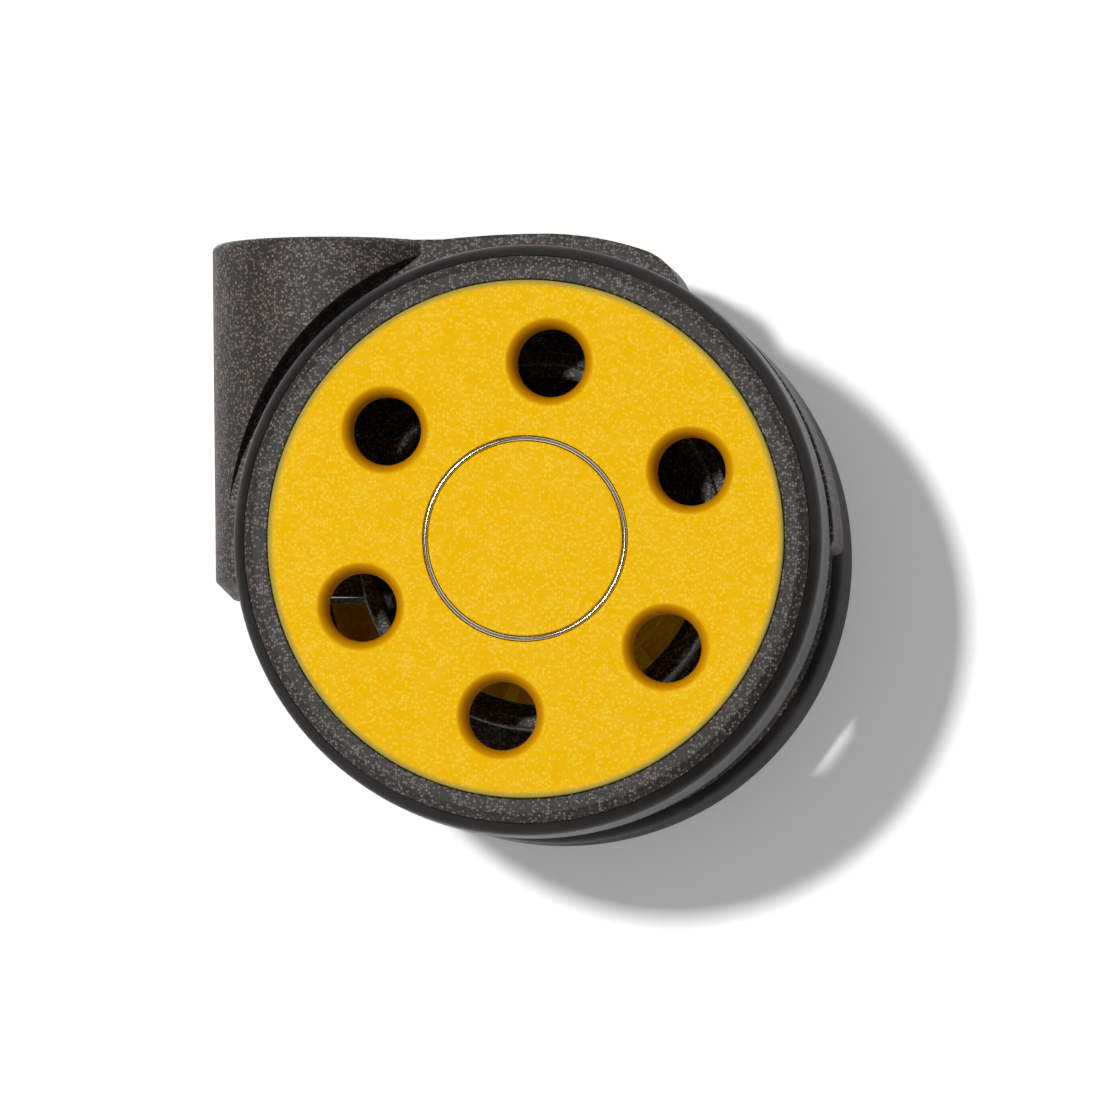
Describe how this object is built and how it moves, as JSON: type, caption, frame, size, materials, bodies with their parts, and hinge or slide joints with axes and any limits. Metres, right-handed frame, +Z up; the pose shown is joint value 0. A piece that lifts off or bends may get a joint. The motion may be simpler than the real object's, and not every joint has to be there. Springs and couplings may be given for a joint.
{
  "type": "twin-wheel swivel caster",
  "caption": "Twin-wheel swivel caster for an office chair: a hood that swivels on a stem socket, and wheels with pierced hub discs on one axle.",
  "frame": {"origin": "middle of the stem socket's mouth, on the swivel axis, level with the barrel's top", "axes": "+Z up along the swivel axis, out of the socket; +Y along the axle, away from the near wheel; +X the way the wheels trail"},
  "size_m": [0.0686, 0.05, 0.0658],
  "materials": {
    "yellow_textured": "moulded nylon with a fine pale fleck, satin",
    "black_textured": "moulded glass-filled nylon with a fine pale fleck, satin",
    "tread_soft": "smooth polyurethane, slight sheen",
    "chrome_trim": "polished",
    "steel": "zinc-plated",
    "acetal": "natural moulded acetal"
  },
  "bodies": {
    "socket": {"stem_sleeve": "steel", "retaining_washer": "steel"},
    "hood": {"hood": "black_textured", "upper_swivel_bush": "acetal", "lower_swivel_bush": "acetal", "axle": "steel", "near_thrust_washer": "acetal", "far_thrust_washer": "acetal", "near_push_nut": "steel", "far_push_nut": "steel"},
    "near_wheel": {"near_wheel_disc": "yellow_textured", "near_rim": "black_textured", "near_tread": "tread_soft", "near_hub_bush": "acetal", "near_trim_ring": "chrome_trim", "near_centre_cap": "yellow_textured"},
    "far_wheel": {"far_wheel_disc": "yellow_textured", "far_rim": "black_textured", "far_tread": "tread_soft", "far_hub_bush": "acetal", "far_trim_ring": "chrome_trim", "far_centre_cap": "yellow_textured"}
  },
  "joints": [
    {"name": "swivel", "type": "hinge", "parent": "socket", "child": "hood", "pos_m": [0, 0, 0], "axis": [0, 0, 1], "continuous": true},
    {"name": "near_wheel_spin", "type": "hinge", "parent": "hood", "child": "near_wheel", "pos_m": [0.0238, 0, -0.0335], "axis": [0, 1, 0], "continuous": true},
    {"name": "far_wheel_spin", "type": "hinge", "parent": "hood", "child": "far_wheel", "pos_m": [0.0238, 0, -0.0335], "axis": [0, 1, 0], "continuous": true}
  ]
}
